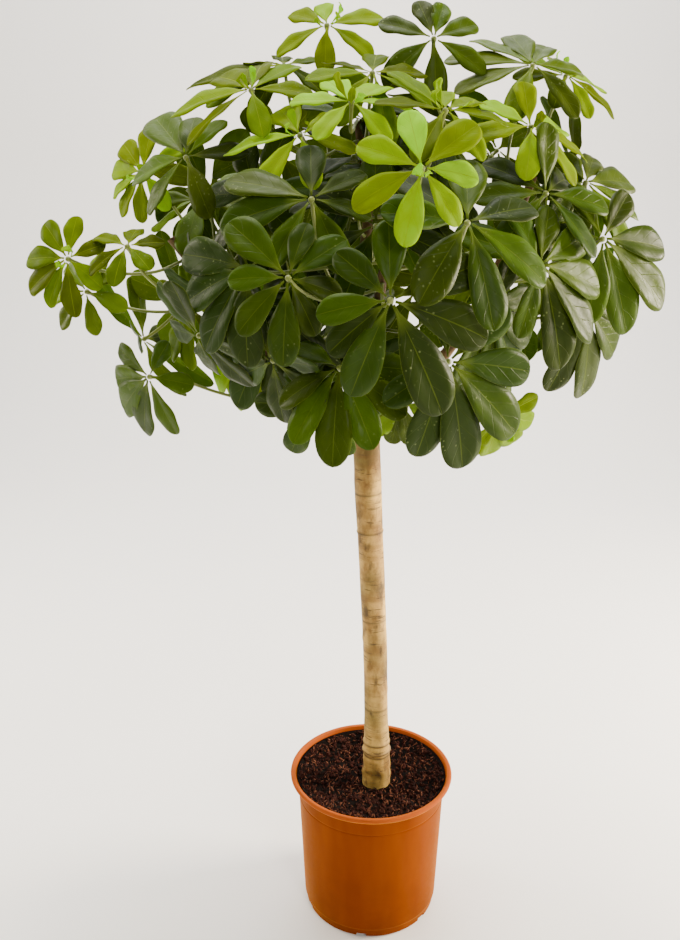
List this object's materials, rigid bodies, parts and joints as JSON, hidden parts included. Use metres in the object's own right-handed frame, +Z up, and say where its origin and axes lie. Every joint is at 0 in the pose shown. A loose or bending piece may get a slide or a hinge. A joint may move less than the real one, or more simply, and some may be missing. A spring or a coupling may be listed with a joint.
{
  "type": "potted umbrella plant",
  "caption": "Umbrella plant grown as a standard: bare stem, round open crown of whorled leaves, in a round tapered nursery pot with a rolled lip.",
  "frame": {"origin": "middle of the pot's flat underside", "axes": "+Z up along the pot's axis, -Y towards the side with the fullest leaves, +X to its right"},
  "size_m": [0.6192, 0.5188, 1.0071],
  "materials": {
    "pot_plastic": "moulded polypropylene, satin",
    "potting_mix": "loose bark and peat crumbs",
    "stem_bark": "matt bark with leaf scars",
    "branch_bark": "matt young bark",
    "leaf_mature": "waxy leaf, soft gloss",
    "leaf_young": "young waxy leaf, soft gloss"
  },
  "bodies": {
    "root": {"branch_back": "branch_bark", "branch_front": "branch_bark", "branch_leader": "branch_bark", "branch_left": "branch_bark", "branch_right": "branch_bark", "leaf_bright_centre": "leaf_young", "leaf_bright_left": "leaf_young", "leaf_crown_far_left": "leaf_young", "leaf_crown_far_right": "leaf_young", "leaf_crown_front": "leaf_young", "leaf_crown_inner": "leaf_young", "leaf_crown_left": "leaf_young", "leaf_crown_middle": "leaf_young", "leaf_crown_right": "leaf_mature", "leaf_crown_tall": "leaf_mature", "leaf_crown_top": "leaf_young", "leaf_front_centre": "leaf_mature", "leaf_front_left": "leaf_mature", "leaf_front_right": "leaf_mature", "leaf_inner_centre": "leaf_mature", "leaf_inner_left": "leaf_mature", "leaf_inner_low": "leaf_mature", "leaf_left_broad": "leaf_mature", "leaf_left_hanging": "leaf_mature", "leaf_left_lime": "leaf_young", "leaf_left_long": "leaf_mature", "leaf_left_low": "leaf_mature", "leaf_left_small": "leaf_young", "leaf_left_tip": "leaf_young", "leaf_left_under": "leaf_mature", "leaf_left_wheel": "leaf_young", "leaf_low_front": "leaf_mature", "leaf_low_left": "leaf_mature", "leaf_low_small": "leaf_mature", "leaf_middle_left": "leaf_mature", "leaf_middle_right": "leaf_mature", "leaf_right_drooping": "leaf_young", "leaf_right_front": "leaf_mature", "leaf_right_inner": "leaf_mature", "leaf_right_low": "leaf_mature", "leaf_right_outer": "leaf_mature", "leaf_right_shoulder": "leaf_mature", "leaf_right_under": "leaf_mature", "leaf_right_upper": "leaf_mature", "leaf_shoulder_right": "leaf_young", "leaf_upper_left": "leaf_mature", "pot": "pot_plastic", "side_shoot_01": "leaf_mature", "side_shoot_02": "leaf_mature", "side_shoot_03": "leaf_mature", "side_shoot_04": "leaf_mature", "side_shoot_05": "leaf_mature", "side_shoot_06": "leaf_mature", "side_shoot_07": "leaf_mature", "side_shoot_08": "leaf_mature", "side_shoot_09": "leaf_mature", "side_shoot_11": "leaf_mature", "soil": "potting_mix", "stem": "stem_bark"}
  },
  "joints": []
}
